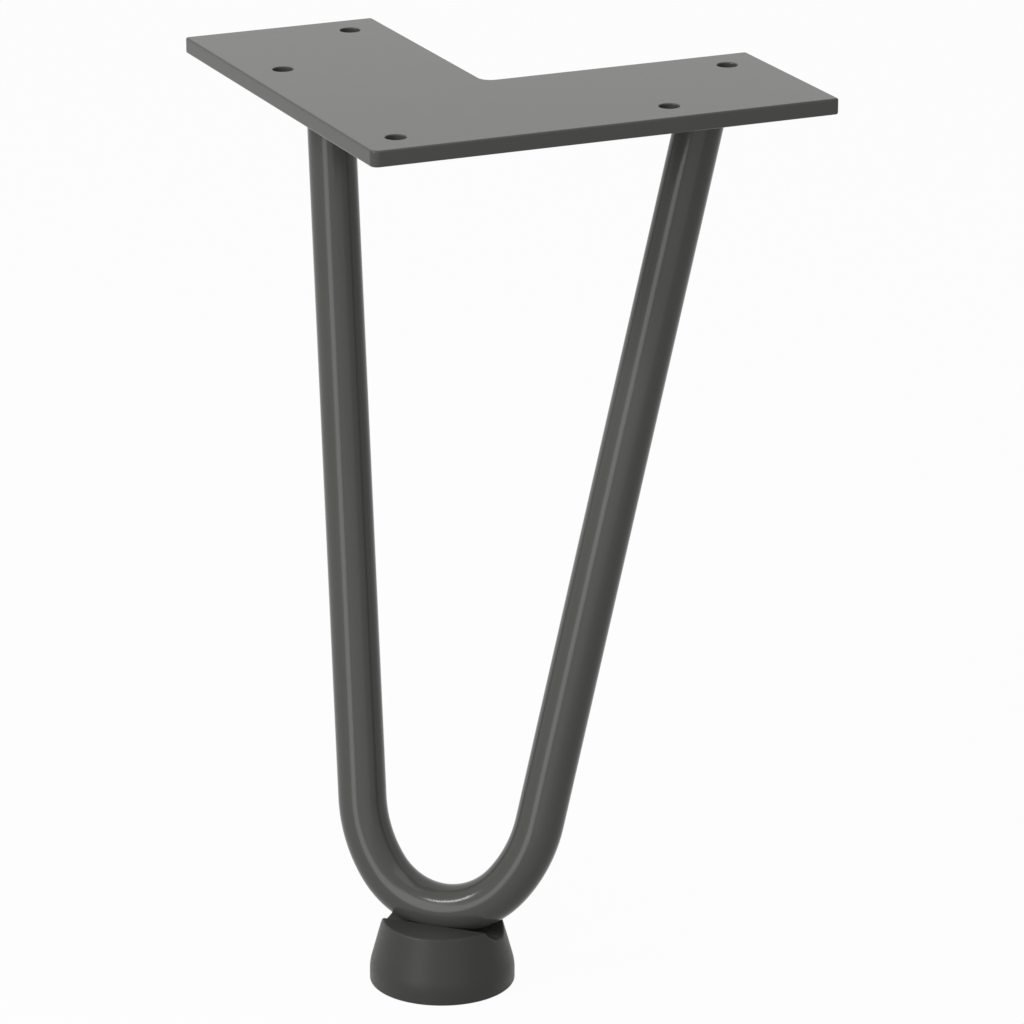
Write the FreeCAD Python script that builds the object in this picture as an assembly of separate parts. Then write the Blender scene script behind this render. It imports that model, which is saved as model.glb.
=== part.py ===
# Hairpin table leg: an L-shaped mounting plate, one bent round bar welded under it,
# and a moulded foot that the bend sits in.
# Sizes are in millimetres and angles in degrees. +Z is up. The origin is the middle
# of the foot's base, on the floor. X and Y run along the two arms of the plate.

import FreeCAD
import Part
import math
import os

# Whole leg
overall_height = 221.8

# Mounting plate
plate_length = 120.0
arm_width = 50.0
plate_thickness = 4.0
outer_corner_radius = 2.0
inner_corner_radius = 3.0
arm_corner_radius = 0.8
plate_edge_round = 0.4

# Screw holes, measured from the nearest edges of the plate
hole_diameter = 5.0
hole_margin = 10.0
hole_pitch = 70.0

# Bent bar: where its two ends meet the plate, and the radii of its bend
rod_diameter = 12.0
rod_from_arm_end = 20.75
rod_from_inner_edge = 20.25
nose_radius = 20.8
nose_half_turn = 51.2
shoulder_radius = 34.6

# Weld beads round the ends of the bar
weld_leg = 3.0
weld_toe = 0.4
weld_crown = 0.45

# Foot, with the saddle groove that holds the bar
foot_inset = 29.0
foot_height = 16.2
foot_base_diameter = 35.9
foot_top_diameter = 29.4
foot_band_height = 4.3
foot_blend_radius = 12.0
foot_edge_round = 0.5
groove_floor_height = 12.6
bond_gap = 0.1

# Places that follow from the sizes above
rod_radius = rod_diameter / 2
groove_radius = rod_radius + bond_gap
nose_height = groove_floor_height + groove_radius
plate_underside = overall_height - plate_thickness


def save(shape, node):
    """Write one piece to its own file."""
    shape.exportStep("parts/" + node + ".step")
    print(node, "volume", round(shape.Volume, 1), "valid", shape.isValid())


def round_corner(previous, corner, following, radius):
    """Start, middle and end of the arc that rounds a corner between two neighbours."""
    before = (previous - corner).normalize()
    after = (following - corner).normalize()
    half_angle = before.getAngle(after) / 2
    set_back = radius / math.tan(half_angle)
    lift = radius / math.sin(half_angle) - radius
    middle = corner + (before + after).normalize() * lift
    return corner + before * set_back, middle, corner + after * set_back


def rounded_outline(corners, radii):
    """Closed wire through the corners, each turned with its own radius (0 keeps it sharp)."""
    count = len(corners)
    edges = []
    starts = []
    ends = []
    for index in range(count):
        corner = corners[index]
        if radii[index] == 0:
            starts.append(corner)
            ends.append(corner)
            continue
        following = corners[(index + 1) % count]
        start, middle, end = round_corner(corners[index - 1], corner, following, radii[index])
        edges.append(Part.Arc(start, middle, end).toShape())
        starts.append(start)
        ends.append(end)
    for index in range(count):
        edges.append(Part.makeLine(ends[index], starts[(index + 1) % count]))
    return Part.Wire(Part.__sortEdges__(edges))


def hole_centres():
    """The corner hole, one along each outer edge and one near each arm's inner end."""
    far_outer = hole_margin + hole_pitch
    arm_end = plate_length - hole_margin
    arm_inner = arm_width - hole_margin
    return [
        (hole_margin, hole_margin),
        (far_outer, hole_margin),
        (hole_margin, far_outer),
        (arm_end, arm_inner),
        (arm_inner, arm_end),
    ]


def make_top_plate():
    """L-shaped plate with five straight screw holes and broken edges."""
    low = FreeCAD.Vector(-foot_inset, -foot_inset, plate_underside)
    outline = [
        (0, 0, outer_corner_radius),
        (plate_length, 0, arm_corner_radius),
        (plate_length, arm_width, arm_corner_radius),
        (arm_width, arm_width, inner_corner_radius),
        (arm_width, plate_length, arm_corner_radius),
        (0, plate_length, arm_corner_radius),
    ]
    corners = [low + FreeCAD.Vector(x, y, 0) for x, y, radius in outline]
    radii = [radius for x, y, radius in outline]
    face = Part.Face(rounded_outline(corners, radii))
    plate = face.extrude(FreeCAD.Vector(0, 0, plate_thickness))
    rims = [edge for edge in plate.Edges if edge.BoundBox.ZLength < plate_edge_round]
    plate = plate.makeFillet(plate_edge_round, rims)
    for x, y in hole_centres():
        start = low + FreeCAD.Vector(x, y, -plate_thickness)
        drill = Part.makeCylinder(hole_diameter / 2, 3 * plate_thickness, start)
        plate = plate.cut(drill)
    return plate


def rod_ends():
    """Where the bar's centre line meets the underside of each arm, left and right."""
    along = plate_length - rod_from_arm_end - foot_inset
    across = arm_width - rod_from_inner_edge - foot_inset
    left = FreeCAD.Vector(across, along, plate_underside)
    right = FreeCAD.Vector(along, across, plate_underside)
    return left, right


class BendPlane:
    """The tilted plane that the bar is bent in, seen from the nose of the bend."""

    def __init__(self):
        left, right = rod_ends()
        self.nose = FreeCAD.Vector(0, 0, nose_height)
        top_middle = (left + right) * 0.5
        self.half_spread = (right - left).Length / 2
        self.rise = (top_middle - self.nose).Length
        self.across = (right - left).normalize()
        self.upward = (top_middle - self.nose).normalize()

    def point(self, sideways, height):
        """A point of the plane, from its distance sideways and up from the nose."""
        return self.nose + self.across * sideways + self.upward * height


def on_arc(centre, radius, angle):
    """Sideways and up coordinates at an angle counted from straight down."""
    sideways = centre[0] + radius * math.sin(angle)
    height = centre[1] - radius * math.cos(angle)
    return sideways, height


def bend_shape(plane):
    """Arc centres, and the angle from straight down at which the leg leaves the bend."""
    turn = math.radians(nose_half_turn)
    nose_centre = (0.0, nose_radius)
    shoulder_centre = on_arc(nose_centre, nose_radius - shoulder_radius, turn)
    run = plane.half_spread - shoulder_centre[0]
    climb = plane.rise - shoulder_centre[1]
    reach = math.hypot(run, climb)
    leave = math.atan2(run, -climb) - math.acos(shoulder_radius / reach)
    return nose_centre, shoulder_centre, turn, leave


def rod_path(plane, extra):
    """Centre line of the bar, with both legs run on past the plate's underside."""
    nose_centre, shoulder_centre, turn, leave = bend_shape(plane)
    half_turned = on_arc(shoulder_centre, shoulder_radius, (turn + leave) / 2)
    leg_start = on_arc(shoulder_centre, shoulder_radius, leave)
    nose_end = on_arc(nose_centre, nose_radius, turn)
    leg_end = (
        plane.half_spread + extra * math.cos(leave),
        plane.rise + extra * math.sin(leave),
    )

    def place(side, flat):
        return plane.point(side * flat[0], flat[1])

    edges = [
        Part.makeLine(place(-1, leg_end), place(-1, leg_start)),
        Part.Arc(place(-1, leg_start), place(-1, half_turned), place(-1, nose_end)).toShape(),
        Part.Arc(place(-1, nose_end), plane.nose, place(1, nose_end)).toShape(),
        Part.Arc(place(1, nose_end), place(1, half_turned), place(1, leg_start)).toShape(),
        Part.makeLine(place(1, leg_start), place(1, leg_end)),
    ]
    return Part.Wire(edges)


def leg_line(plane, side):
    """One end of the bar at the plate, and the direction in which its leg runs down."""
    nose_centre, shoulder_centre, turn, leave = bend_shape(plane)
    leg_start = on_arc(shoulder_centre, shoulder_radius, leave)
    top = plane.point(side * plane.half_spread, plane.rise)
    bottom = plane.point(side * leg_start[0], leg_start[1])
    return top, (bottom - top).normalize()


def make_hairpin_rod(plane):
    """Solid round bar bent in one plane, its ends cut to lie flat on the plate."""
    path = rod_path(plane, rod_diameter)
    start = path.Edges[0].Vertexes[0].Point
    top, downward = leg_line(plane, -1)
    section = Part.Wire(Part.makeCircle(rod_radius, start, downward))
    bar = path.makePipeShell([section], True, True)
    above = Part.makeBox(
        4 * plate_length,
        4 * plate_length,
        4 * rod_diameter,
        FreeCAD.Vector(-2 * plate_length, -2 * plate_length, plate_underside),
    )
    return bar.cut(above)


def weld_ring(top, downward, depth, spread):
    """Level ellipse round the leg, at a depth under the plate and spread out from the bar."""
    slope = abs(downward.z)
    centre = top + downward * (depth / slope)
    level = FreeCAD.Vector(downward.x, downward.y, 0).normalize()
    sideways = FreeCAD.Vector(-level.y, level.x, 0)
    major = centre + level * (rod_radius / slope + spread)
    minor = centre + sideways * (rod_radius + spread)
    return Part.Wire(Part.Ellipse(major, minor, centre).toShape())


def make_weld(plane, side):
    """Crowned fillet weld all round one end of the bar, against the plate's underside."""
    top, downward = leg_line(plane, side)
    middle_spread = (weld_leg + weld_toe) / 2 + weld_crown
    rings = [
        weld_ring(top, downward, 0, weld_leg),
        weld_ring(top, downward, weld_leg / 2, middle_spread),
        weld_ring(top, downward, weld_leg, weld_toe),
    ]
    bead = Part.makeLoft(rings, True, True)
    leg = Part.makeCylinder(
        rod_radius,
        4 * rod_diameter,
        top - downward * (2 * rod_diameter),
        downward,
    )
    return bead.cut(leg)


def foot_profile():
    """Half section of the foot: rounded floor edge, upright band, blended cone and top."""
    base = foot_base_diameter / 2
    top = foot_top_diameter / 2
    section = [
        (0, 0, 0),
        (base, 0, foot_edge_round),
        (base, foot_band_height, foot_blend_radius),
        (top, foot_height, 0),
        (0, foot_height, 0),
    ]
    corners = [FreeCAD.Vector(out, 0, up) for out, up, radius in section]
    radii = [radius for out, up, radius in section]
    return Part.Face(rounded_outline(corners, radii))


def make_foot(plane):
    """Moulded cone with a straight round-bottomed groove for the nose of the bar. The rim
    and the lips of the groove are rounded as one."""
    axis = FreeCAD.Vector(0, 0, 1)
    body = foot_profile().revolve(FreeCAD.Vector(0, 0, 0), axis, 360)
    length = 2 * foot_base_diameter
    start = plane.nose - plane.across * (length / 2)
    groove = Part.makeCylinder(groove_radius, length, start, plane.across)
    foot = body.cut(groove)
    lowest_lip = groove_floor_height - foot_edge_round
    lips = [edge for edge in foot.Edges if edge.BoundBox.ZMin > lowest_lip]
    return foot.makeFillet(foot_edge_round, lips)


def main():
    os.makedirs("parts", exist_ok=True)
    plane = BendPlane()
    save(make_top_plate(), "top_plate")
    save(make_hairpin_rod(plane), "hairpin_rod")
    save(make_weld(plane, -1), "left_weld_bead")
    save(make_weld(plane, 1), "right_weld_bead")
    save(make_foot(plane), "foot")


main()
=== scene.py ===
import math

import bmesh
import bpy
from mathutils import Matrix, Quaternion, Vector


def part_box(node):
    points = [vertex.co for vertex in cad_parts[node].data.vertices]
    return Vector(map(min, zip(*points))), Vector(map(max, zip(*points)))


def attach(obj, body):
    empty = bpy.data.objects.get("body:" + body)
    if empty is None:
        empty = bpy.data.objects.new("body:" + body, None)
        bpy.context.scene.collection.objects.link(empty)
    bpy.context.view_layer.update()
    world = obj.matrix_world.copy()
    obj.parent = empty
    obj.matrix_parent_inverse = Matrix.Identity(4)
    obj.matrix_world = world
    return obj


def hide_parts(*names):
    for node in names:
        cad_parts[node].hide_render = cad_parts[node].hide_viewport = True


bl_info = {
    "name": "Hairpin Table Leg",
    "version": (1, 0, 0),
    "blender": (4, 5, 0),
    "location": "View3D > Sidebar > Hairpin Leg",
    "description": "Dresses a hairpin table leg: screw plate, bent bar, weld beads and foot",
    "category": "Object",
}

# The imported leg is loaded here, so that the sizes below can start from its own corners.
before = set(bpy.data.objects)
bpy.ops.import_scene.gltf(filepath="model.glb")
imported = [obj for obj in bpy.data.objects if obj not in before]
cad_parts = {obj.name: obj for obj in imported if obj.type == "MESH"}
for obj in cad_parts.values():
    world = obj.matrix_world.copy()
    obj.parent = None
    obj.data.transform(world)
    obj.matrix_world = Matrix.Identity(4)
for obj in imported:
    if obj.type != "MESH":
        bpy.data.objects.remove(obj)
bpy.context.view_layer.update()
plate_low, plate_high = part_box("top_plate")
foot_low, foot_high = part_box("foot")

# Points of one piece that lie closer than this, in metres, are the same point.
MERGE_DISTANCE = 0.00001
# A face whose normal's upward part is above this is level.
LEVEL = 0.99999

# Gloss level of the powder coat and of the rubber, where 0.5 is that of bare plastic
COAT_GLOSS = 0.22
RUBBER_GLOSS = 0.2

# Steps across the crowned face of a weld bead, and how far its back lies inside bar and plate
CROWN_STEPS = 16
BEAD_TUCK = 0.0003

# Steps of the foot's floor edge and blend, of its groove, lips and flat top, and of its rim
FLOOR_EDGE_STEPS = 5
BLEND_STEPS = 10
GROOVE_STEPS = 22
LIP_STEPS = 5
TOP_STEPS = 28
RIM_STEPS = 5

# What the lamps point at, about the middle of the leg, and how far off they hang, in metres
LAMP_TARGET = Vector((0.02, 0.02, 0.11))
LAMP_DISTANCE = 1.6


# Sizes and colours that a user may change

class ScrewPlateSettings(bpy.types.PropertyGroup):
    """Sizes of the L-shaped screw plate"""

    length: bpy.props.FloatProperty(
        name="Arm length", description="Outer length of each arm of the plate",
        default=plate_high.x - plate_low.x, unit="LENGTH")
    arm_width: bpy.props.FloatProperty(
        name="Arm width", description="Width of each arm", default=0.050, unit="LENGTH")
    thickness: bpy.props.FloatProperty(
        name="Thickness", description="Thickness of the sheet",
        default=plate_high.z - plate_low.z, unit="LENGTH")
    outer_corner: bpy.props.FloatProperty(
        name="Outer corner", description="Radius of the corner where the arms meet",
        default=0.002, unit="LENGTH")
    inner_corner: bpy.props.FloatProperty(
        name="Inner corner", description="Radius of the corner between the arms",
        default=0.003, unit="LENGTH")
    arm_corner: bpy.props.FloatProperty(
        name="Arm corners", description="Radius of the corners at the ends of the arms",
        default=0.0008, unit="LENGTH")
    edge_round: bpy.props.FloatProperty(
        name="Broken edge", description="Rounding along the plate's cut edges",
        default=0.0005, unit="LENGTH")
    hole_diameter: bpy.props.FloatProperty(
        name="Hole diameter", description="Diameter of the five screw holes",
        default=0.005, unit="LENGTH")
    hole_margin: bpy.props.FloatProperty(
        name="Hole margin", description="Distance from the holes to the nearest edges",
        default=0.010, unit="LENGTH")
    hole_pitch: bpy.props.FloatProperty(
        name="Hole pitch", description="Distance between two holes along an outer edge",
        default=0.070, unit="LENGTH")
    hole_break: bpy.props.FloatProperty(
        name="Broken hole rim", description="Rounding round the rims of the holes",
        default=0.0003, unit="LENGTH")


class BentBarSettings(bpy.types.PropertyGroup):
    """Sizes of the bent round bar"""

    diameter: bpy.props.FloatProperty(
        name="Bar diameter", description="Diameter of the round bar",
        default=0.012, unit="LENGTH")
    from_arm_end: bpy.props.FloatProperty(
        name="From the arm's end", description="Bar's middle to the end of the arm it is under",
        default=0.02075, unit="LENGTH")
    from_inner_edge: bpy.props.FloatProperty(
        name="From the inner edge", description="Bar's middle to the inner edge of the arm",
        default=0.02025, unit="LENGTH")
    nose_radius: bpy.props.FloatProperty(
        name="Nose radius", description="Bend radius at the foot, at the bar's middle",
        default=0.0208, unit="LENGTH")
    nose_half_turn: bpy.props.FloatProperty(
        name="Nose half turn", description="Turn on each side of the nose before the bend opens",
        default=math.radians(51.2), subtype="ANGLE")
    shoulder_radius: bpy.props.FloatProperty(
        name="Shoulder radius", description="Wider bend radius between the nose and the legs",
        default=0.0346, unit="LENGTH")
    ring_spacing: bpy.props.FloatProperty(
        name="Ring spacing", description="Distance between the rings of faces along the bar",
        default=0.00125, unit="LENGTH")
    sides: bpy.props.IntProperty(
        name="Sides", description="Faces round the bar", default=64)


class WeldBeadSettings(bpy.types.PropertyGroup):
    """Sizes of the fillet welds round the ends of the bar"""

    leg: bpy.props.FloatProperty(
        name="Weld leg", description="Length of the weld on the plate and along the bar",
        default=0.003, unit="LENGTH")
    toe: bpy.props.FloatProperty(
        name="Toe", description="Height of the bead's lower toe on the bar",
        default=0.0004, unit="LENGTH")
    crown: bpy.props.FloatProperty(
        name="Crown", description="How far the middle of the bead swells out",
        default=0.00045, unit="LENGTH")
    ripples: bpy.props.IntProperty(
        name="Ripples", description="Ripples round one bead", default=34)
    ripple_depth: bpy.props.FloatProperty(
        name="Ripple depth", description="Height of the ripples",
        default=0.00016, unit="LENGTH")
    unevenness: bpy.props.FloatProperty(
        name="Unevenness", description="How far the bead wanders in and out",
        default=0.00022, unit="LENGTH")


class FootSettings(bpy.types.PropertyGroup):
    """Sizes of the moulded foot"""

    height: bpy.props.FloatProperty(
        name="Height", description="Height of the foot",
        default=foot_high.z - foot_low.z, unit="LENGTH")
    base_diameter: bpy.props.FloatProperty(
        name="Base diameter", description="Diameter on the floor",
        default=foot_high.x - foot_low.x, unit="LENGTH")
    top_diameter: bpy.props.FloatProperty(
        name="Top diameter", description="Diameter of the upper face",
        default=0.0294, unit="LENGTH")
    band_height: bpy.props.FloatProperty(
        name="Band height", description="Height of the upright band at the base",
        default=0.0043, unit="LENGTH")
    blend_radius: bpy.props.FloatProperty(
        name="Blend radius", description="Soft turn between the band and the cone",
        default=0.012, unit="LENGTH")
    edge_round: bpy.props.FloatProperty(
        name="Edge rounding", description="Moulded rounding of the foot's edges",
        default=0.0005, unit="LENGTH")
    groove_floor: bpy.props.FloatProperty(
        name="Groove floor", description="Height of the bottom of the saddle groove",
        default=0.0126, unit="LENGTH")
    bond_gap: bpy.props.FloatProperty(
        name="Bond gap", description="Thin gap between the bar and its groove",
        default=0.0001, unit="LENGTH")


class FinishSettings(bpy.types.PropertyGroup):
    """Colours and gloss of the powder coat and the rubber"""

    coat_colour: bpy.props.FloatVectorProperty(
        name="Powder coat", description="Colour of the satin powder coat",
        subtype="COLOR", size=3, min=0, max=1, default=(0.060, 0.060, 0.055))
    coat_roughness: bpy.props.FloatProperty(
        name="Coat roughness", description="Roughness of the satin powder coat",
        default=0.175, min=0, max=1, subtype="FACTOR")
    peel_height: bpy.props.FloatProperty(
        name="Orange peel", description="Height of the coat's soft waviness",
        default=0.000005, unit="LENGTH", precision=6)
    rubber_colour: bpy.props.FloatVectorProperty(
        name="Rubber", description="Colour of the moulded foot",
        subtype="COLOR", size=3, min=0, max=1, default=(0.036, 0.036, 0.033))
    rubber_roughness: bpy.props.FloatProperty(
        name="Rubber roughness", description="Roughness of the moulded foot",
        default=0.42, min=0, max=1, subtype="FACTOR")


class StudioSettings(bpy.types.PropertyGroup):
    """Floor, lamps and background of the studio"""

    floor_width: bpy.props.FloatProperty(
        name="Floor width", description="Width of the pale floor", default=16.0, unit="LENGTH")
    floor_colour: bpy.props.FloatVectorProperty(
        name="Floor", description="Colour of the plain pale floor",
        subtype="COLOR", size=3, min=0, max=1, default=(0.50, 0.50, 0.50))
    floor_glow: bpy.props.FloatProperty(
        name="Floor whiteness",
        description="Share of plain white that the camera sees on the floor",
        default=0.968, min=0, max=1, subtype="FACTOR")
    side_power: bpy.props.FloatProperty(
        name="Side softbox", description="Power of the tall softbox on the left, in watts",
        default=8.3, min=0)
    fill_power: bpy.props.FloatProperty(
        name="Left panel", description="Power of the wide panel that fills from the left, in watts",
        default=1.2, min=0)
    strip_power: bpy.props.FloatProperty(
        name="Strip lamp", description="Power of the slanting strip high on the left, in watts",
        default=13.0, min=0)
    top_power: bpy.props.FloatProperty(
        name="Overhead panel", description="Power of the panel high above the front, in watts",
        default=4.1, min=0)
    front_power: bpy.props.FloatProperty(
        name="Front panel", description="Power of the low panel in front, in watts",
        default=3.0, min=0)
    sky_strength: bpy.props.FloatProperty(
        name="Room light", description="Strength of the even light from all round",
        default=0.42, min=0)


# Node trees and meshes

def add_node(tree, kind, inputs=None, **settings):
    """Add a node, set its options, and feed its inputs from sockets or plain values."""
    made = tree.nodes.new(kind)
    made.location = (220 * len(tree.nodes), 0)
    for name, value in settings.items():
        setattr(made, name, value)
    for key, value in (inputs or {}).items():
        socket = made.inputs[key]
        if isinstance(key, str):
            socket = next(s for s in made.inputs if s.name == key and s.enabled)
        if isinstance(value, bpy.types.NodeSocket):
            tree.links.new(value, socket)
        else:
            socket.default_value = value
    return made


def result(made, name=None):
    """The first live output of a node, or the one with this name."""
    return next(s for s in made.outputs if s.enabled and name in (None, s.name))


def calculate(tree, operation, *values):
    """Number from a Math node."""
    made = add_node(tree, "ShaderNodeMath", dict(enumerate(values)), operation=operation)
    return made.outputs[0]


def vector_calculate(tree, operation, *values, scale=None):
    """Vector from a Vector Math node."""
    inputs = dict(enumerate(values))
    if scale is not None:
        inputs["Scale"] = scale
    made = add_node(tree, "ShaderNodeVectorMath", inputs, operation=operation)
    return made.outputs[0]


def start_tree(name, sizes):
    """Geometry Nodes tree with its named inputs, and the node that hands them out."""
    tree = bpy.data.node_groups.new(name, "GeometryNodeTree")
    tree.is_modifier = True
    tree.interface.new_socket("Geometry", in_out="INPUT", socket_type="NodeSocketGeometry")
    tree.interface.new_socket("Geometry", in_out="OUTPUT", socket_type="NodeSocketGeometry")
    for label, kind, default in sizes:
        socket = tree.interface.new_socket(label, in_out="INPUT", socket_type=kind)
        if default is not None:
            socket.default_value = default
    tree.interface.new_socket("Finish", in_out="INPUT", socket_type="NodeSocketMaterial")
    return tree, tree.nodes.new("NodeGroupInput")


def end_tree(tree, given, geometry):
    """Realize the instances, give the finish and hand the geometry out."""
    whole = result(add_node(tree, "GeometryNodeRealizeInstances", {"Geometry": geometry}))
    inputs = {"Geometry": whole, "Material": given.outputs["Finish"]}
    finished = result(add_node(tree, "GeometryNodeSetMaterial", inputs))
    add_node(tree, "NodeGroupOutput", {"Geometry": finished})


def grow(name, mesh, tree, values, finish):
    """Run a tree on a base mesh with these input values, and return a plain mesh object."""
    piece = bpy.data.objects.new(name, mesh)
    bpy.context.scene.collection.objects.link(piece)
    modifier = piece.modifiers.new("Shape", "NODES")
    modifier.node_group = tree
    values = dict(values, Finish=finish)
    for item in tree.interface.items_tree:
        if item.in_out == "INPUT" and item.name in values:
            modifier[item.identifier] = values[item.name]
    depsgraph = bpy.context.evaluated_depsgraph_get()
    grown = bpy.data.meshes.new_from_object(piece.evaluated_get(depsgraph))
    piece.modifiers.remove(modifier)
    piece.data = grown
    bpy.data.meshes.remove(mesh)
    if not grown.polygons:
        raise RuntimeError(name + " came out empty")
    return piece


def base_mesh(name, points, edges, **attributes):
    """Mesh of points and edges, with one number per point in each named attribute."""
    mesh = bpy.data.meshes.new(name)
    mesh.from_pydata(points, edges, [])
    for label, values in attributes.items():
        attribute = mesh.attributes.new(label, "FLOAT", "POINT")
        attribute.data.foreach_set("value", values)
    return mesh


def steady_normals(mesh):
    """Shade level faces flat right up to their rounded edges, and everything else smooth."""
    mesh.shade_smooth()
    normals = [Vector() for vertex in mesh.vertices]
    for face in mesh.polygons:
        level = abs(face.normal.z) > LEVEL
        share = face.normal * (1.0 if level else face.area)
        for index in face.vertices:
            normals[index] += share
    mesh.normals_split_custom_set_from_vertices([normal.normalized() for normal in normals])


def named_number(tree, name):
    """Number kept on the points of the geometry under this name."""
    made = add_node(tree, "GeometryNodeInputNamedAttribute", {"Name": name}, data_type="FLOAT")
    return result(made, "Attribute")


# Finishes

def start_finish(name):
    """Material with its shader, and the place on the piece that patterns follow."""
    material = bpy.data.materials.new(name)
    material.use_nodes = True
    tree = material.node_tree
    shader = tree.nodes["Principled BSDF"]
    place = add_node(tree, "ShaderNodeTexCoord").outputs["Object"]
    return material, tree, shader, place


def grain(tree, place, cells, detail=2.0):
    """Even noise of this many cells to the metre."""
    inputs = {"Vector": place, "Scale": cells, "Detail": detail, "Roughness": 0.5}
    return add_node(tree, "ShaderNodeTexNoise", inputs).outputs[0]


def spread(tree, value, low, high):
    """Stretch noise from about the middle of its range to between two numbers."""
    inputs = {"Value": value, "From Min": 0.3, "From Max": 0.7, "To Min": low, "To Max": high}
    return result(add_node(tree, "ShaderNodeMapRange", inputs))


def shade_colour(tree, colour, amount):
    """The colour, lightened or darkened by a number near one."""
    return vector_calculate(tree, "SCALE", colour, scale=amount)


def bumpy(tree, height, distance, strength, under=None):
    """Normal that follows a height pattern, on top of another one."""
    inputs = {"Height": height, "Distance": distance, "Strength": strength}
    if under is not None:
        inputs["Normal"] = under
    return add_node(tree, "ShaderNodeBump", inputs).outputs[0]


def powder_coat(name, peel_strength=1.0):
    """Satin powder coat: soft orange peel, fine grain and a little cloudiness."""
    finish = bpy.context.scene.leg_finish
    material, tree, shader, place = start_finish(name)
    shader.inputs["Specular IOR Level"].default_value = COAT_GLOSS
    cloud = spread(tree, grain(tree, place, cells=45.0, detail=3.0), 0.985, 1.015)
    colour = shade_colour(tree, tuple(finish.coat_colour), cloud)
    tree.links.new(colour, shader.inputs["Base Color"])
    rough = finish.coat_roughness
    gloss = spread(tree, grain(tree, place, cells=260.0), rough - 0.01, rough + 0.01)
    tree.links.new(gloss, shader.inputs["Roughness"])
    waves = grain(tree, place, cells=420.0, detail=1.0)
    peel = bumpy(tree, waves, finish.peel_height, peel_strength)
    specks = grain(tree, place, cells=3200.0)
    fine = bumpy(tree, specks, finish.peel_height / 6, strength=0.15, under=peel)
    tree.links.new(fine, shader.inputs["Normal"])
    return material


def moulded_rubber(name):
    """Matt moulded rubber: fine spark-eroded grain and faint cloudiness."""
    finish = bpy.context.scene.leg_finish
    material, tree, shader, place = start_finish(name)
    shader.inputs["Specular IOR Level"].default_value = RUBBER_GLOSS
    cloud = spread(tree, grain(tree, place, cells=120.0, detail=3.0), 0.96, 1.04)
    colour = shade_colour(tree, tuple(finish.rubber_colour), cloud)
    tree.links.new(colour, shader.inputs["Base Color"])
    rough = finish.rubber_roughness
    gloss = spread(tree, grain(tree, place, cells=900.0), rough - 0.04, rough + 0.04)
    tree.links.new(gloss, shader.inputs["Roughness"])
    pits = grain(tree, place, cells=2600.0, detail=3.0)
    texture = bumpy(tree, pits, distance=0.000006, strength=0.8)
    tree.links.new(texture, shader.inputs["Normal"])
    return material


# Screw plate

def plate_corners(plate):
    """Outline corners of the L and their radii, then the centres of the five holes."""
    long, wide, end = plate.length, plate.arm_width, plate.arm_corner
    outline = [
        (0.0, 0.0, plate.outer_corner),
        (long, 0.0, end),
        (long, wide, end),
        (wide, wide, plate.inner_corner),
        (wide, long, end),
        (0.0, long, end),
    ]
    near = plate.hole_margin
    far = near + plate.hole_pitch
    holes = [
        (near, near),
        (far, near),
        (near, far),
        (long - near, wide - near),
        (wide - near, long - near),
    ]
    return outline, holes


def edge_section(tree, inset, height, steps):
    """Open section of an upright wall whose upper and lower edges are rounded by an inset."""
    corners = []
    for out, down in ((1, 0), (0, 0), (0, 1), (1, 1)):
        corners.append(add_node(tree, "ShaderNodeCombineXYZ", {
            "X": calculate(tree, "MULTIPLY", inset, float(out)),
            "Y": calculate(tree, "MULTIPLY", height, float(down)),
        }).outputs[0])
    section = result(add_node(tree, "GeometryNodeCurvePrimitiveQuadrilateral", {
        "Point 1": corners[0], "Point 2": corners[1],
        "Point 3": corners[2], "Point 4": corners[3],
    }, mode="POINTS"))
    section = result(add_node(tree, "GeometryNodeSetSplineCyclic", {
        "Geometry": section, "Cyclic": False,
    }))
    radius = calculate(tree, "ABSOLUTE", inset)
    return result(add_node(tree, "GeometryNodeFilletCurve", {
        "Curve": section, "Count": steps, "Radius": radius,
    }, mode="POLY"))


def moved(tree, geometry, offset):
    """Geometry whose points are moved by an offset."""
    inputs = {"Geometry": geometry, "Offset": offset}
    return result(add_node(tree, "GeometryNodeSetPosition", inputs))


def joined(tree, *parts):
    """Several geometries as one."""
    made = add_node(tree, "GeometryNodeJoinGeometry")
    for part in parts:
        tree.links.new(part, made.inputs["Geometry"])
    return result(made)


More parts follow.
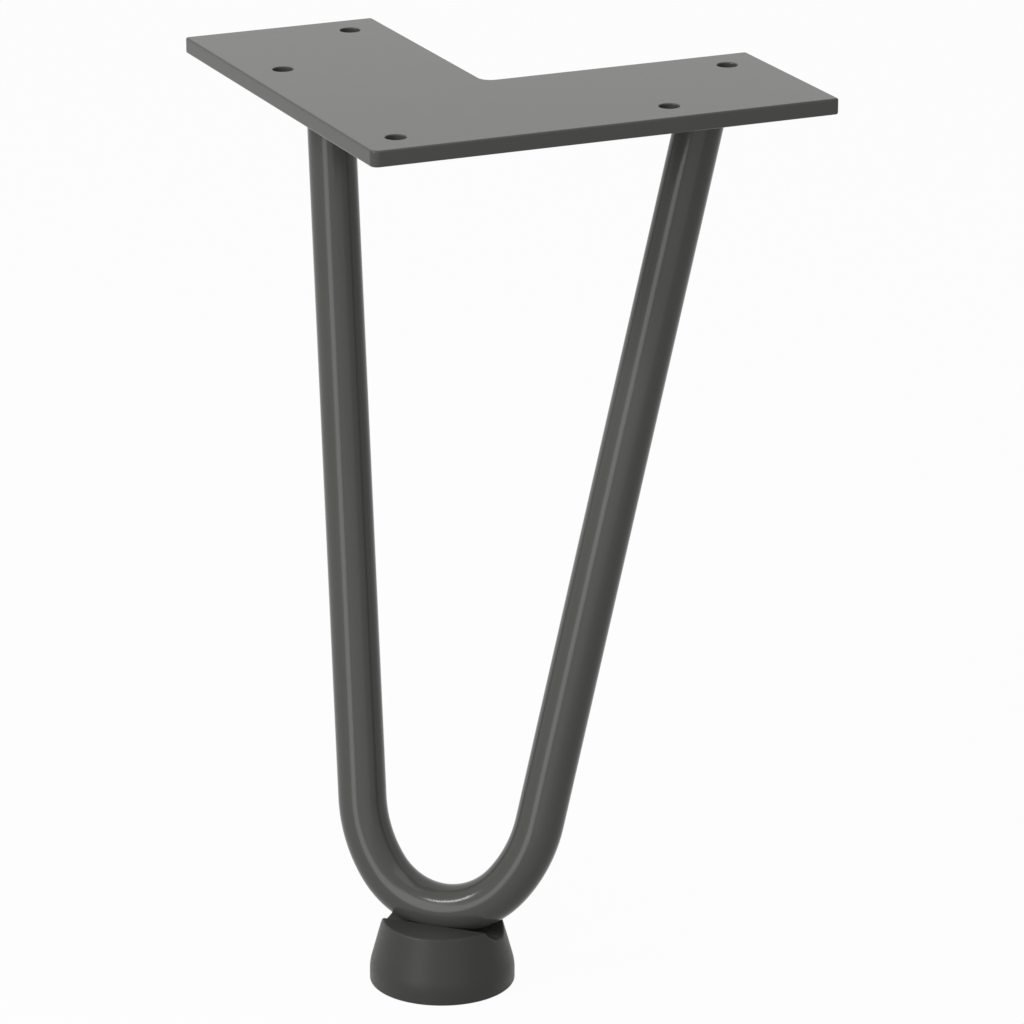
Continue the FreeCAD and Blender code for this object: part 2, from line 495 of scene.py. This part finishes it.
def plate_tree():
    """L-shaped outline with turned corners, walls with broken edges, and faces
    perforated by the screw holes."""
    tree, given = start_tree("Perforated plate", [
        ("Upper face", "NodeSocketFloat", 0.2),
        ("Thickness", "NodeSocketFloat", 0.004),
        ("Broken edge", "NodeSocketFloat", 0.0004),
        ("Hole diameter", "NodeSocketFloat", 0.005),
        ("Broken hole rim", "NodeSocketFloat", 0.0001),
        ("Corner steps", "NodeSocketInt", 10),
        ("Hole steps", "NodeSocketInt", 64),
        ("Edge steps", "NodeSocketInt", 4),
    ])
    sketch = given.outputs["Geometry"]
    thickness = given.outputs["Thickness"]
    steps = given.outputs["Edge steps"]

    outline = result(add_node(tree, "GeometryNodeMeshToCurve", {"Mesh": sketch}))
    outline = result(add_node(tree, "GeometryNodeFilletCurve", {
        "Curve": outline,
        "Count": given.outputs["Corner steps"],
        "Radius": named_number(tree, "corner_radius"),
    }, mode="POLY"))
    outline = result(add_node(tree, "GeometryNodeSetCurveNormal", {"Curve": outline}, mode="Z_UP"))
    inset = calculate(tree, "MULTIPLY", given.outputs["Broken edge"], -1.0)
    outer_wall = result(add_node(tree, "GeometryNodeCurveToMesh", {
        "Curve": outline, "Profile Curve": edge_section(tree, inset, thickness, steps),
    }))
    outward = add_node(tree, "GeometryNodeInputNormal").outputs[0]
    face_edge = moved(tree, outline, vector_calculate(tree, "SCALE", outward, scale=inset))

    centres = result(add_node(tree, "GeometryNodeMeshToPoints", {
        "Mesh": sketch, "Selection": named_number(tree, "hole"),
    }))
    flare = given.outputs["Broken hole rim"]
    radius = calculate(tree, "MULTIPLY", given.outputs["Hole diameter"], 0.5)
    ring = result(add_node(tree, "GeometryNodeCurvePrimitiveCircle", {
        "Resolution": given.outputs["Hole steps"], "Radius": radius,
    }))
    ring = result(add_node(tree, "GeometryNodeSetCurveNormal", {"Curve": ring}, mode="Z_UP"))
    bore = result(add_node(tree, "GeometryNodeCurveToMesh", {
        "Curve": ring, "Profile Curve": edge_section(tree, flare, thickness, steps),
    }))
    bore = result(add_node(tree, "GeometryNodeFlipFaces", {"Mesh": bore}))
    rim = moved(tree, ring, vector_calculate(
        tree, "SCALE", add_node(tree, "GeometryNodeInputNormal").outputs[0], scale=flare))
    bores, rims = [
        result(add_node(tree, "GeometryNodeRealizeInstances", {
            "Geometry": result(add_node(tree, "GeometryNodeInstanceOnPoints", {
                "Points": centres, "Instance": part,
            })),
        }))
        for part in (bore, rim)
    ]

    face = result(add_node(tree, "GeometryNodeFillCurve", {
        "Curve": joined(tree, face_edge, rims),
    }))
    lower = result(add_node(tree, "GeometryNodeFlipFaces", {"Mesh": face}))
    drop = add_node(tree, "ShaderNodeCombineXYZ", {
        "Z": calculate(tree, "MULTIPLY", thickness, -1.0),
    }).outputs[0]
    solid = joined(tree, face, moved(tree, lower, drop), outer_wall, bores)
    rise = add_node(tree, "ShaderNodeCombineXYZ", {"Z": given.outputs["Upper face"]}).outputs[0]
    solid = result(add_node(tree, "GeometryNodeMergeByDistance", {
        "Geometry": moved(tree, solid, rise), "Distance": MERGE_DISTANCE,
    }))
    end_tree(tree, given, solid)
    return tree


def make_plate():
    """L-shaped plate, grown from its outline's corners and the centres of its holes."""
    plate = bpy.context.scene.leg_plate
    outline, holes = plate_corners(plate)
    points = [(plate_low.x + x, plate_low.y + y, 0.0) for x, y, radius in outline]
    points += [(plate_low.x + x, plate_low.y + y, 0.0) for x, y in holes]
    count = len(outline)
    edges = [(index, (index + 1) % count) for index in range(count)]
    radii = [radius for x, y, radius in outline] + [0.0] * len(holes)
    marks = [0.0] * count + [1.0] * len(holes)
    mesh = base_mesh("plate_sketch", points, edges, corner_radius=radii, hole=marks)
    values = {
        "Upper face": plate_low.z + plate.thickness,
        "Thickness": plate.thickness,
        "Broken edge": plate.edge_round,
        "Hole diameter": plate.hole_diameter,
        "Broken hole rim": plate.hole_break,
    }
    piece = grow("screw_plate", mesh, plate_tree(), values, powder_coat("Plate powder coat"))
    steady_normals(piece.data)
    return piece


# Bent bar

class BendPlane:
    """The tilted plane that the bar is bent in, seen from the nose of the bend."""

    def __init__(self):
        plate = bpy.context.scene.leg_plate
        bar = bpy.context.scene.leg_bar
        foot = bpy.context.scene.leg_foot
        along = plate.length - bar.from_arm_end + plate_low.x
        across = plate.arm_width - bar.from_inner_edge + plate_low.x
        left = Vector((across, along, plate_low.z))
        right = Vector((along, across, plate_low.z))
        nose_height = foot.groove_floor + foot.bond_gap + bar.diameter / 2
        self.nose = Vector((0, 0, nose_height))
        top_middle = (left + right) / 2
        self.half_spread = (right - left).length / 2
        self.rise = (top_middle - self.nose).length
        self.across = (right - left).normalized()
        self.upward = (top_middle - self.nose).normalized()

    def point(self, sideways, height):
        """A point of the plane, from its distance sideways and up from the nose."""
        return self.nose + self.across * sideways + self.upward * height


def leave_angle(plane, bar):
    """Angle from level at which the straight legs leave the bend."""
    turn = bar.nose_half_turn
    step = bar.nose_radius - bar.shoulder_radius
    run = plane.half_spread - step * math.sin(turn)
    climb = plane.rise - (bar.nose_radius - step * math.cos(turn))
    return math.atan2(run, -climb) - math.acos(bar.shoulder_radius / math.hypot(run, climb))


def bend_corners(plane, bar, extra):
    """Corners of the unbent route, as sideways and up distances, from the nose to one leg's
    end, which runs on by an extra length past the plate's underside."""
    turn = bar.nose_half_turn
    leave = leave_angle(plane, bar)
    nose_corner = (0.0, bar.nose_radius * (1 - 1 / math.cos(turn)))
    nose_end = (
        bar.nose_radius * math.sin(turn),
        bar.nose_radius * (1 - math.cos(turn)),
    )
    set_back = bar.shoulder_radius * math.tan((leave - turn) / 2)
    shoulder_corner = (
        nose_end[0] + set_back * math.cos(turn),
        nose_end[1] + set_back * math.sin(turn),
    )
    leg_end = (
        plane.half_spread + extra * math.cos(leave),
        plane.rise + extra * math.sin(leave),
    )
    return nose_corner, shoulder_corner, leg_end


def bar_tree():
    """Round bar swept along a route with turned corners, its ends cut level with the plate."""
    tree, given = start_tree("Bent bar", [
        ("Bar diameter", "NodeSocketFloat", 0.012),
        ("Cut height", "NodeSocketFloat", 0.2),
        ("Ring spacing", "NodeSocketFloat", 0.00125),
        ("Bend steps", "NodeSocketInt", 64),
        ("Sides", "NodeSocketInt", 64),
    ])
    route = result(add_node(tree, "GeometryNodeMeshToCurve", {"Mesh": given.outputs["Geometry"]}))
    route = result(add_node(tree, "GeometryNodeFilletCurve", {
        "Curve": route,
        "Count": given.outputs["Bend steps"],
        "Radius": named_number(tree, "bend_radius"),
    }, mode="POLY"))
    route = result(add_node(tree, "GeometryNodeResampleCurve", {
        "Curve": route, "Length": given.outputs["Ring spacing"],
    }, mode="LENGTH"))
    kept = tree.nodes.new("GeometryNodeCaptureAttribute")
    kept.capture_items.new("VECTOR", "Way")
    tree.links.new(route, kept.inputs["Geometry"])
    tree.links.new(add_node(tree, "GeometryNodeInputTangent").outputs[0], kept.inputs["Way"])
    circle = result(add_node(tree, "GeometryNodeCurvePrimitiveCircle", {
        "Resolution": given.outputs["Sides"],
        "Radius": calculate(tree, "MULTIPLY", given.outputs["Bar diameter"], 0.5),
    }))
    bar = result(add_node(tree, "GeometryNodeCurveToMesh", {
        "Curve": kept.outputs["Geometry"], "Profile Curve": circle, "Fill Caps": True,
    }))
    place = add_node(tree, "GeometryNodeInputPosition").outputs[0]
    height = add_node(tree, "ShaderNodeSeparateXYZ", {0: place}).outputs["Z"]
    climb = add_node(tree, "ShaderNodeSeparateXYZ", {0: kept.outputs["Way"]}).outputs["Z"]
    above = calculate(tree, "SUBTRACT", height, given.outputs["Cut height"])
    slide = calculate(tree, "DIVIDE", calculate(tree, "MULTIPLY", above, -1.0), climb)
    bar = result(add_node(tree, "GeometryNodeSetPosition", {
        "Geometry": bar,
        "Selection": calculate(tree, "GREATER_THAN", above, 0.0),
        "Offset": vector_calculate(tree, "SCALE", kept.outputs["Way"], scale=slide),
    }))
    bar = result(add_node(tree, "GeometryNodeMergeByDistance", {
        "Geometry": bar, "Distance": MERGE_DISTANCE,
    }))
    end_tree(tree, given, bar)
    return tree


def make_bar():
    """Bent bar, swept a little past the plate's underside and cut level with it."""
    bar = bpy.context.scene.leg_bar
    plane = BendPlane()
    nose, shoulder, end = bend_corners(plane, bar, extra=bar.diameter / 4)
    flat = [(-end[0], end[1]), (-shoulder[0], shoulder[1]), nose, shoulder, end]
    points = [plane.point(*corner) for corner in flat]
    wide = bar.shoulder_radius
    radii = [0.0, wide, bar.nose_radius, wide, 0.0]
    edges = [(index, index + 1) for index in range(4)]
    mesh = base_mesh("bar_route", points, edges, bend_radius=radii)
    values = {
        "Bar diameter": bar.diameter,
        "Cut height": plate_low.z,
        "Ring spacing": bar.ring_spacing,
        "Sides": bar.sides,
    }
    piece = grow("bent_bar", mesh, bar_tree(), values, powder_coat("Bar powder coat"))
    for face in piece.data.polygons:
        is_end_cap = len(face.vertices) > 4
        face.use_smooth = not is_end_cap
    return piece


# Weld beads

def curved(start, steer, end, share):
    """Spot on the soft curve that leaves the start and reaches the end towards one point."""
    return start * (1 - share) ** 2 + steer * (2 * share * (1 - share)) + end * share ** 2


def bead_section(weld):
    """Closed section of the bead: crowned face, then the part hidden in bar and plate.
    The first number is how far out from the bar, the second how far below the plate."""
    start = Vector((weld.toe, weld.leg))
    end = Vector((weld.leg, 0.0))
    middle = Vector(((weld.leg + weld.toe) / 2 + weld.crown, weld.leg / 2))
    steer = middle * 2 - (start + end) / 2
    points = []
    swell = []
    for index in range(CROWN_STEPS + 1):
        share = index / CROWN_STEPS
        spot = curved(start, steer, end, share)
        points.append((spot.x, spot.y, 0.0))
        swell.append(math.sin(math.pi * share))
    back, low = -BEAD_TUCK, weld.leg + BEAD_TUCK
    points += [(weld.leg, back, 0.0), (back, back, 0.0), (back, low, 0.0)]
    swell += [0.0, 0.0, 0.0]
    return points, swell


def bead_tree():
    """Bead swept round the bar's slanting end, with ripples and a little unevenness."""
    tree, given = start_tree("Weld bead", [
        ("Bar end", "NodeSocketVector", None),
        ("Lean", "NodeSocketVector", None),
        ("Long radius", "NodeSocketFloat", 0.006),
        ("Short radius", "NodeSocketFloat", 0.006),
        ("Heading", "NodeSocketFloat", 0.0),
        ("Steps", "NodeSocketInt", 408),
        ("Ripples", "NodeSocketInt", 34),
        ("Ripple depth", "NodeSocketFloat", 0.0001),
        ("Unevenness", "NodeSocketFloat", 0.0001),
        ("Seed", "NodeSocketFloat", 1.0),
    ])
    ring = result(add_node(tree, "GeometryNodeCurvePrimitiveCircle", {
        "Resolution": given.outputs["Steps"], "Radius": 1.0,
    }))
    size = add_node(tree, "ShaderNodeCombineXYZ", {
        "X": given.outputs["Long radius"], "Y": given.outputs["Short radius"], "Z": 1.0,
    }).outputs[0]
    heading = add_node(tree, "ShaderNodeCombineXYZ", {"Z": given.outputs["Heading"]}).outputs[0]
    ring = result(add_node(tree, "GeometryNodeTransform", {
        "Geometry": ring, "Rotation": heading, "Scale": size,
    }))
    ring = result(add_node(tree, "GeometryNodeSetCurveNormal", {"Curve": ring}, mode="Z_UP"))
    kept = tree.nodes.new("GeometryNodeCaptureAttribute")
    kept.capture_items.new("FLOAT", "Round")
    tree.links.new(ring, kept.inputs["Geometry"])
    share = result(add_node(tree, "GeometryNodeSplineParameter"), "Factor")
    tree.links.new(share, kept.inputs["Round"])
    section = result(add_node(tree, "GeometryNodeMeshToCurve", {"Mesh": given.outputs["Geometry"]}))
    bead = result(add_node(tree, "GeometryNodeCurveToMesh", {
        "Curve": kept.outputs["Geometry"], "Profile Curve": section,
    }))
    bead = result(add_node(tree, "GeometryNodeFlipFaces", {"Mesh": bead}))
    place = add_node(tree, "GeometryNodeInputPosition").outputs[0]
    depth = calculate(tree, "MULTIPLY",
                      add_node(tree, "ShaderNodeSeparateXYZ", {0: place}).outputs["Z"], -1.0)
    leaning = vector_calculate(tree, "SCALE", given.outputs["Lean"], scale=depth)
    shift = vector_calculate(tree, "ADD", leaning, given.outputs["Bar end"])
    bead = result(add_node(tree, "GeometryNodeSetPosition", {"Geometry": bead, "Offset": shift}))

    swell = named_number(tree, "swell")
    slow = result(add_node(tree, "ShaderNodeTexNoise", {
        "Vector": add_node(tree, "GeometryNodeInputPosition").outputs[0],
        "W": given.outputs["Seed"], "Scale": 260.0, "Detail": 1.0,
    }, noise_dimensions="4D"))
    bow = calculate(tree, "MULTIPLY", swell, 0.55)
    phase = calculate(tree, "ADD", bow,
                      calculate(tree, "MULTIPLY", kept.outputs["Round"], given.outputs["Ripples"]))
    phase = calculate(tree, "ADD", phase, calculate(tree, "MULTIPLY", slow, 0.9))
    wave = calculate(tree, "SINE", calculate(tree, "MULTIPLY", phase, math.pi))
    wave = calculate(tree, "SUBTRACT", calculate(tree, "ABSOLUTE", wave), 0.6)
    ripple = calculate(tree, "MULTIPLY", wave, given.outputs["Ripple depth"])
    wander = calculate(tree, "MULTIPLY", calculate(tree, "SUBTRACT", slow, 0.5),
                       given.outputs["Unevenness"])
    lift = calculate(tree, "MULTIPLY", calculate(tree, "ADD", ripple, wander), swell)
    outward = add_node(tree, "GeometryNodeInputNormal").outputs[0]
    bead = result(add_node(tree, "GeometryNodeSetPosition", {
        "Geometry": bead, "Offset": vector_calculate(tree, "SCALE", outward, scale=lift),
    }))
    bead = result(add_node(tree, "GeometryNodeSetShadeSmooth", {"Geometry": bead}))
    end_tree(tree, given, bead)
    return tree


def make_beads():
    """Left and right weld bead, each with its own seed."""
    weld = bpy.context.scene.leg_weld
    bar = bpy.context.scene.leg_bar
    plane = BendPlane()
    nose, shoulder, end = bend_corners(plane, bar, extra=0.0)
    points, swell = bead_section(weld)
    count = len(points)
    edges = [(index, (index + 1) % count) for index in range(count)]
    tree = bead_tree()
    finish = powder_coat("Weld powder coat", peel_strength=0.6)
    pieces = []
    for side, name, seed in ((-1, "left_bead", 3.0), (1, "right_bead", 8.0)):
        top = plane.point(side * end[0], end[1])
        bottom = plane.point(side * shoulder[0], shoulder[1])
        downward = (bottom - top).normalized()
        slope = abs(downward.z)
        mesh = base_mesh("bead_section", points, edges, swell=swell)
        values = {
            "Bar end": top,
            "Lean": (downward.x / slope, downward.y / slope, 0.0),
            "Long radius": bar.diameter / 2 / slope,
            "Short radius": bar.diameter / 2,
            "Heading": math.atan2(downward.y, downward.x),
            "Ripples": weld.ripples,
            "Ripple depth": weld.ripple_depth,
            "Unevenness": weld.unevenness,
            "Seed": seed,
        }
        pieces.append(grow(name, mesh, tree, values, finish))
    return pieces


# Foot

def turned_corner(previous, corner, following, radius, steps):
    """Points of the arc that rounds one corner of an outline."""
    before = (Vector(previous) - Vector(corner)).normalized()
    after = (Vector(following) - Vector(corner)).normalized()
    half = before.angle(after) / 2
    centre = Vector(corner) + (before + after).normalized() * (radius / math.sin(half))
    start = Vector(corner) + before * (radius / math.tan(half)) - centre
    end = Vector(corner) + after * (radius / math.tan(half)) - centre
    sweep = math.pi - 2 * half
    points = []
    for index in range(steps + 1):
        angle = sweep * index / steps
        reach = start * math.sin(sweep - angle) + end * math.sin(angle)
        points.append(centre + reach / math.sin(sweep))
    return points


class FootShape:
    """Side of the foot as radius over height, and its grooved upper face as height over
    distance from the groove's line."""

    def __init__(self, foot, groove_radius, nose_height):
        self.height = foot.height
        self.edge = foot.edge_round
        self.groove = groove_radius
        self.nose = nose_height
        self.band = (foot.base_diameter / 2, foot.band_height)
        self.top = (foot.top_diameter / 2, foot.height)
        self.blend = foot.blend_radius
        to_lip = self.groove + self.edge
        self.lip = math.sqrt(to_lip ** 2 - (self.nose - self.height + self.edge) ** 2)
        self.groove_end = self.lip * self.groove / to_lip

    def lower_side(self):
        """Rounded floor edge and the blend between the upright band and the cone."""
        floor_edge = (self.band[0], 0.0)
        middle = (0.0, 0.0)
        return (turned_corner(middle, floor_edge, self.band, self.edge, FLOOR_EDGE_STEPS)
                + turned_corner(floor_edge, self.band, self.top, self.blend, BLEND_STEPS))

    def radius(self, height):
        """Radius of the cone at a height."""
        share = (height - self.band[1]) / (self.top[1] - self.band[1])
        return self.band[0] + (self.top[0] - self.band[0]) * share

    def upper_height(self, out):
        """Height of the flat top, the rounded lip or the groove, at a distance from its line."""
        out = abs(out)
        if out >= self.lip:
            return self.height
        if out > self.groove_end:
            return self.height - self.edge + math.sqrt(self.edge ** 2 - (self.lip - out) ** 2)
        return self.nose - math.sqrt(self.groove ** 2 - out ** 2)

    def columns(self):
        """Distances from the groove's line that follow the groove, its lips and the flat top."""
        swing = math.asin(self.groove_end / self.groove)
        half = [self.groove * math.sin(swing * index / GROOVE_STEPS)
                for index in range(GROOVE_STEPS + 1)]
        start = math.acos((self.lip - self.groove_end) / self.edge)
        half += [self.lip - self.edge * math.cos(start + (math.pi / 2 - start) * index / LIP_STEPS)
                 for index in range(1, LIP_STEPS + 1)]
        start = math.asin(self.lip / self.top[0])
        half += [self.top[0] * math.sin(start + (math.pi / 2 - start) * index / TOP_STEPS)
                 for index in range(1, TOP_STEPS + 1)]
        return [-out for out in reversed(half[1:])] + half


def make_foot():
    """Turned cone whose upper face dips into a straight round-bottomed groove."""
    foot = bpy.context.scene.leg_foot
    plane = BendPlane()
    groove_radius = bpy.context.scene.leg_bar.diameter / 2 + foot.bond_gap
    shape = FootShape(foot, groove_radius, plane.nose.z)
    lower = shape.lower_side()
    over = Vector((0, 0, 1)).cross(plane.across)
    work = bmesh.new()

    def meridian(side, out):
        """Points up the side of the foot and round its rim, for one end of a column."""
        height = shape.upper_height(out)
        radius = shape.radius(height)
        forward = side * math.sqrt(max(radius ** 2 - out ** 2, 0.0))
        facing = (plane.across * forward + over * out) / radius

        def spot(reach, level):
            return facing * reach + Vector((0, 0, level))

        inner = 1 - shape.edge / radius
        below = spot(shape.radius(height - shape.edge), height - shape.edge)
        inside = spot(radius * inner, shape.upper_height(out * inner))
        rim = spot(radius, height)
        spots = [spot(*flat) for flat in lower]
        spots += [curved(below, rim, inside, index / RIM_STEPS) for index in range(RIM_STEPS + 1)]
        return [work.verts.new(one) for one in spots]

    columns = shape.columns()
    ahead = [meridian(1, out) for out in columns]
    behind = [ahead[0], *(meridian(-1, out) for out in columns[1:-1]), ahead[-1]]
    around = ahead + behind[-2:0:-1]
    for index, one in enumerate(around):
        two = around[(index + 1) % len(around)]
        for level in range(len(one) - 1):
            work.faces.new((one[level], two[level], two[level + 1], one[level + 1]))
    for index in range(len(columns) - 1):
        spots = [ahead[index][-1], ahead[index + 1][-1], behind[index + 1][-1], behind[index][-1]]
        work.faces.new(list(dict.fromkeys(spots)))
    work.faces.new([up[0] for up in reversed(around)])
    bmesh.ops.recalc_face_normals(work, faces=work.faces)
    mesh = bpy.data.meshes.new("moulded_foot")
    work.to_mesh(mesh)
    work.free()
    mesh.materials.append(moulded_rubber("Foot rubber"))
    steady_normals(mesh)
    piece = bpy.data.objects.new("moulded_foot", mesh)
    bpy.context.scene.collection.objects.link(piece)
    return piece


# Studio

def floor_finish(studio):
    """Pale floor that the camera and reflections see as nearly white, with its shadow kept."""
    material = bpy.data.materials.new("Pale floor")
    material.use_nodes = True
    tree = material.node_tree
    tree.nodes.clear()
    paint = add_node(tree, "ShaderNodeBsdfDiffuse", {"Color": (*studio.floor_colour, 1.0)})
    white = add_node(tree, "ShaderNodeEmission", {"Color": (1, 1, 1, 1), "Strength": 1.0})
    seen = calculate(tree, "MULTIPLY", seen_directly(tree), studio.floor_glow)
    mixed = add_node(tree, "ShaderNodeMixShader", {
        0: seen, 1: paint.outputs[0], 2: white.outputs[0],
    })
    add_node(tree, "ShaderNodeOutputMaterial", {"Surface": mixed.outputs[0]})
    return material


def seen_directly(tree):
    """One for rays from the camera, and for those that gloss and glass send on."""
    rays = add_node(tree, "ShaderNodeLightPath")
    seen = calculate(tree, "MAXIMUM", rays.outputs["Is Camera Ray"], rays.outputs["Is Glossy Ray"])
    return calculate(tree, "MAXIMUM", seen, rays.outputs["Is Transmission Ray"])


def light_room(studio):
    """Even room light, which looks white to the camera and in reflections."""
    world = bpy.data.worlds.new("Studio")
    bpy.context.scene.world = world
    world.use_nodes = True
    tree = world.node_tree
    tree.nodes.clear()
    even, white = [
        add_node(tree, "ShaderNodeBackground", {"Color": (1, 1, 1, 1), "Strength": strength})
        for strength in (studio.sky_strength, 1.0)
    ]
    mixed = add_node(tree, "ShaderNodeMixShader", {
        0: seen_directly(tree), 1: even.outputs[0], 2: white.outputs[0],
    })
    add_node(tree, "ShaderNodeOutputWorld", {"Surface": mixed.outputs[0]})


def hang_lamp(name, power, heading, elevation, width, height, roll=0.0):
    """Area lamp turned towards the leg, with angles in degrees. Heading 0 is straight in
    front, 90 is on the left, and roll turns the lamp about the line to the leg."""
    turn = math.radians(heading)
    climb = math.radians(elevation)
    outward = Vector((-math.sin(turn) * math.cos(climb), -math.cos(turn) * math.cos(climb),
                      math.sin(climb)))
    lamp = bpy.data.lights.new(name, "AREA")
    lamp.shape = "RECTANGLE"
    lamp.size = width
    lamp.size_y = height
    lamp.energy = power
    holder = bpy.data.objects.new(name, lamp)
    holder.location = LAMP_TARGET + outward * LAMP_DISTANCE
    facing = (-outward).to_track_quat("-Z", "Y") @ Quaternion((0, 0, 1), math.radians(roll))
    holder.rotation_euler = facing.to_euler()
    holder.visible_camera = False
    bpy.context.scene.collection.objects.link(holder)


def set_camera():
    """Camera at the photograph's place: a long lens from the left, a little above the plate."""
    camera = bpy.data.cameras.new("Camera")
    camera.lens = 194.158
    camera.sensor_fit = "HORIZONTAL"
    camera.sensor_width = 36.0
    camera.clip_start = 0.05
    camera.clip_end = 60.0
    holder = bpy.data.objects.new("Camera", camera)
    right = Vector((0.912852, -0.40829, 0.000128))
    down = Vector((-0.131139, -0.293497, -0.946922))
    ahead = Vector((0.386657, 0.864383, -0.321462))
    turn = Matrix((right, -down, -ahead)).transposed()
    place = Matrix.Translation((-0.498906, -1.157614, 0.549748))
    holder.matrix_world = place @ turn.to_4x4()
    bpy.context.scene.collection.objects.link(holder)
    bpy.context.scene.camera = holder


# Steps that a user can run one by one

def settle(piece, node):
    """Let a finished piece ride with the leg and stand for its node, which is hidden."""
    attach(piece, "root")
    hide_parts(node)


class HAIRPIN_LEG_OT_punch_plate(bpy.types.Operator):
    """Make the L-shaped screw plate with its five holes"""

    bl_idname = "hairpin_leg.punch_plate"
    bl_label = "Punch screw plate"

    def execute(self, context):
        settle(make_plate(), "top_plate")
        return {"FINISHED"}


class HAIRPIN_LEG_OT_bend_bar(bpy.types.Operator):
    """Bend the round bar and cut its ends level with the plate"""

    bl_idname = "hairpin_leg.bend_bar"
    bl_label = "Bend bar"

    def execute(self, context):
        settle(make_bar(), "hairpin_rod")
        return {"FINISHED"}


class HAIRPIN_LEG_OT_lay_beads(bpy.types.Operator):
    """Lay the weld beads round both ends of the bar"""

    bl_idname = "hairpin_leg.lay_beads"
    bl_label = "Lay weld beads"

    def execute(self, context):
        left, right = make_beads()
        settle(left, "left_weld_bead")
        settle(right, "right_weld_bead")
        return {"FINISHED"}


class HAIRPIN_LEG_OT_mould_foot(bpy.types.Operator):
    """Mould the conical foot with its saddle groove"""

    bl_idname = "hairpin_leg.mould_foot"
    bl_label = "Mould foot"

    def execute(self, context):
        settle(make_foot(), "foot")
        return {"FINISHED"}


class HAIRPIN_LEG_OT_set_studio(bpy.types.Operator):
    """Lay the pale floor, hang the lamps and place the camera"""

    bl_idname = "hairpin_leg.set_studio"
    bl_label = "Set studio"

    def execute(self, context):
        studio = context.scene.leg_studio
        half = studio.floor_width / 2
        mesh = bpy.data.meshes.new("floor")
        corners = [(-half, -half, 0), (half, -half, 0), (half, half, 0), (-half, half, 0)]
        mesh.from_pydata(corners, [], [(0, 1, 2, 3)])
        mesh.materials.append(floor_finish(studio))
        floor = bpy.data.objects.new("floor", mesh)
        context.scene.collection.objects.link(floor)
        light_room(studio)
        hang_lamp("Side softbox", studio.side_power,
                  heading=62.5, elevation=12, width=0.58, height=1.2)
        hang_lamp("Left panel", studio.fill_power,
                  heading=70, elevation=18, width=1.2, height=1.2)
        hang_lamp("Strip lamp", studio.strip_power,
                  heading=85, elevation=38.5, width=0.8, height=0.10, roll=32)
        hang_lamp("Overhead panel", studio.top_power,
                  heading=345, elevation=70, width=1.0, height=1.0)
        hang_lamp("Front panel", studio.front_power,
                  heading=15, elevation=8, width=1.7, height=0.8)
        set_camera()
        context.scene.view_settings.view_transform = "Standard"
        return {"FINISHED"}


class HAIRPIN_LEG_PT_sidebar(bpy.types.Panel):
    """The leg's pieces, and the sizes and colours that they are made from"""

    bl_idname = "HAIRPIN_LEG_PT_sidebar"
    bl_label = "Hairpin Leg"
    bl_space_type = "VIEW_3D"
    bl_region_type = "UI"
    bl_category = "Hairpin Leg"

    def draw(self, context):
        for step, group in STEPS:
            box = self.layout.box()
            box.operator(step.bl_idname)
            for label in SETTINGS[group].__annotations__:
                box.prop(getattr(context.scene, group), label)
        box = self.layout.box()
        for label in FinishSettings.__annotations__:
            box.prop(context.scene.leg_finish, label)


SETTINGS = {
    "leg_plate": ScrewPlateSettings,
    "leg_bar": BentBarSettings,
    "leg_weld": WeldBeadSettings,
    "leg_foot": FootSettings,
    "leg_finish": FinishSettings,
    "leg_studio": StudioSettings,
}
STEPS = [
    (HAIRPIN_LEG_OT_punch_plate, "leg_plate"),
    (HAIRPIN_LEG_OT_bend_bar, "leg_bar"),
    (HAIRPIN_LEG_OT_lay_beads, "leg_weld"),
    (HAIRPIN_LEG_OT_mould_foot, "leg_foot"),
    (HAIRPIN_LEG_OT_set_studio, "leg_studio"),
]
CLASSES = [*SETTINGS.values(), *(step for step, group in STEPS), HAIRPIN_LEG_PT_sidebar]


def register():
    for made in CLASSES:
        bpy.utils.register_class(made)
    for group, settings in SETTINGS.items():
        setattr(bpy.types.Scene, group, bpy.props.PointerProperty(type=settings))


def unregister():
    for group in SETTINGS:
        delattr(bpy.types.Scene, group)
    for made in reversed(CLASSES):
        bpy.utils.unregister_class(made)


def main():
    register()
    bpy.ops.hairpin_leg.punch_plate()
    bpy.ops.hairpin_leg.bend_bar()
    bpy.ops.hairpin_leg.lay_beads()
    bpy.ops.hairpin_leg.mould_foot()
    bpy.ops.hairpin_leg.set_studio()


if __name__ == "__main__":
    main()
